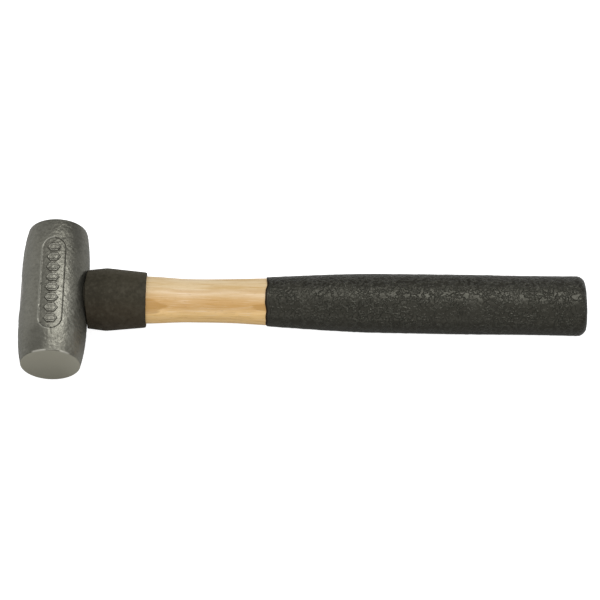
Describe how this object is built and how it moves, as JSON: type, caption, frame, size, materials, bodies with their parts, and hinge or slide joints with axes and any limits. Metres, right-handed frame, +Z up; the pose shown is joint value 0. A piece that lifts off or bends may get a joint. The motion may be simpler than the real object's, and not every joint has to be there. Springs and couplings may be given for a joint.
{
  "type": "lump hammer",
  "caption": "Lump hammer with a cast barrel-shaped soft-metal head, wedged hickory handle, rubber collar and textured dipped grip.",
  "frame": {"origin": "on the surface the hammer lies on, under the centre of its bounding box", "axes": "+X along the handle from the head to the butt, +Z up from the surface, -Y and +Y out of the two striking faces"},
  "size_m": [0.3202, 0.086, 0.0385],
  "materials": {
    "cast_metal": "as cast, grey, satin",
    "hickory": "varnished, satin",
    "wedge_steel": "ground flush",
    "collar_rubber": "smooth, matte",
    "grip_coat": "dipped, wrinkle textured"
  },
  "bodies": {
    "root": {"head": "cast_metal", "handle": "hickory", "wood_wedge": "hickory", "steel_wedge_1": "wedge_steel", "steel_wedge_2": "wedge_steel", "collar": "collar_rubber", "grip": "grip_coat"}
  },
  "joints": []
}
